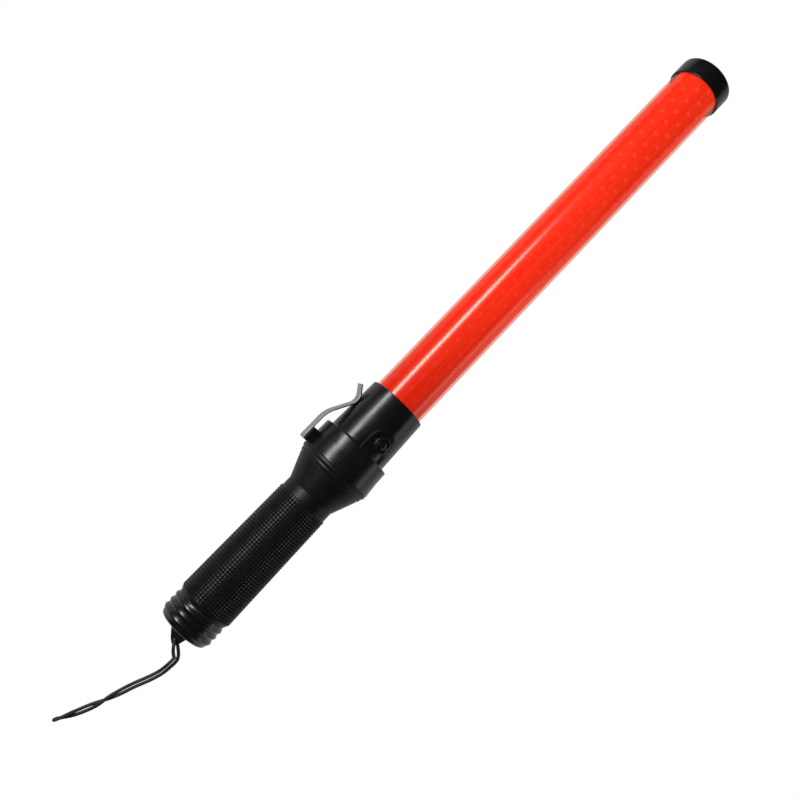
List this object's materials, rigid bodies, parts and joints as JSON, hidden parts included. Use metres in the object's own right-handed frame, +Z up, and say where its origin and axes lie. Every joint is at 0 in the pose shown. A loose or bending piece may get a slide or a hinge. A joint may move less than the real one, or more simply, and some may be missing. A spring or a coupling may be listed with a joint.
{
  "type": "traffic baton light",
  "caption": "Hand-held traffic baton light: red light tube with tip cap, push-button head, collar with belt clip, knurled battery handle, ribbed butt cap and wrist lanyard.",
  "frame": {"origin": "middle of the underside of the baton as it lies on a table, measured without the lanyard", "axes": "+X along the baton from butt to tip, +Z up, +Y towards the side with the belt clip"},
  "size_m": [0.6445, 0.0618, 0.0564],
  "materials": {
    "black_plastic": "satin",
    "butt_plastic": "satin",
    "clip_block": "matte",
    "switch_plastic": "satin",
    "button_rubber": "satin",
    "seal_rubber": "matte",
    "clip_steel": "satin",
    "brass": "satin",
    "battery_can": "gloss",
    "circuit_board": "satin",
    "wire_jacket": "satin",
    "led_lens": "gloss",
    "white_plastic": "satin",
    "red_tube": "gloss",
    "prism_liner": "satin",
    "cord": "matte"
  },
  "bodies": {
    "baton": {"handle_grip": "black_plastic", "contact_strip": "brass", "bulkhead": "black_plastic", "contact_front": "brass", "battery_front": "battery_can", "battery_rear": "battery_can", "collar_seal": "seal_rubber", "head_collar": "black_plastic", "clip_block": "clip_block", "clip_root": "clip_steel", "clip_screws": "clip_steel", "head_sleeve": "black_plastic", "switch_bezel": "switch_plastic", "switch_body": "switch_plastic", "driver_board": "circuit_board", "board_parts": "switch_plastic", "lead_wires": "wire_jacket", "led_board": "circuit_board", "leds": "led_lens", "led_holder": "white_plastic", "tube_seal": "seal_rubber", "light_tube": "red_tube", "prism_liner": "prism_liner", "tip_reflector": "white_plastic", "tip_cap": "black_plastic"},
    "gasket": {"butt_seal": "seal_rubber"},
    "butt": {"butt_cap": "butt_plastic", "battery_spring": "clip_steel", "lanyard_cord": "cord"},
    "clip": {"belt_clip": "clip_steel"},
    "button": {"switch_button": "button_rubber", "switch_plunger": "switch_plastic"}
  },
  "joints": [
    {"name": "cap_travel", "type": "slide", "parent": "baton", "child": "gasket", "axis": [-1, 0, 0], "range_m": [0, 0.012]},
    {"name": "cap_turn", "type": "hinge", "parent": "gasket", "child": "butt", "pos_m": [-0.266, -0.00266, 0.0282], "axis": [-1, 0, 0], "range_deg": [0, 1440]},
    {"name": "clip_flex", "type": "hinge", "parent": "baton", "child": "clip", "pos_m": [-0.1089, 0.02829, 0.03708], "axis": [0, -0.2756, 0.9613], "range_deg": [0, 8], "stiffness_Nm_per_rad": 0.4},
    {"name": "button_press", "type": "slide", "parent": "baton", "child": "button", "axis": [0, 0.4848, -0.8746], "range_m": [0, 0.0012], "stiffness_N_per_m": 800}
  ],
  "couplings": [
    {"joint": "cap_travel", "follows": "cap_turn", "m_per_rad": 0.000477}
  ]
}
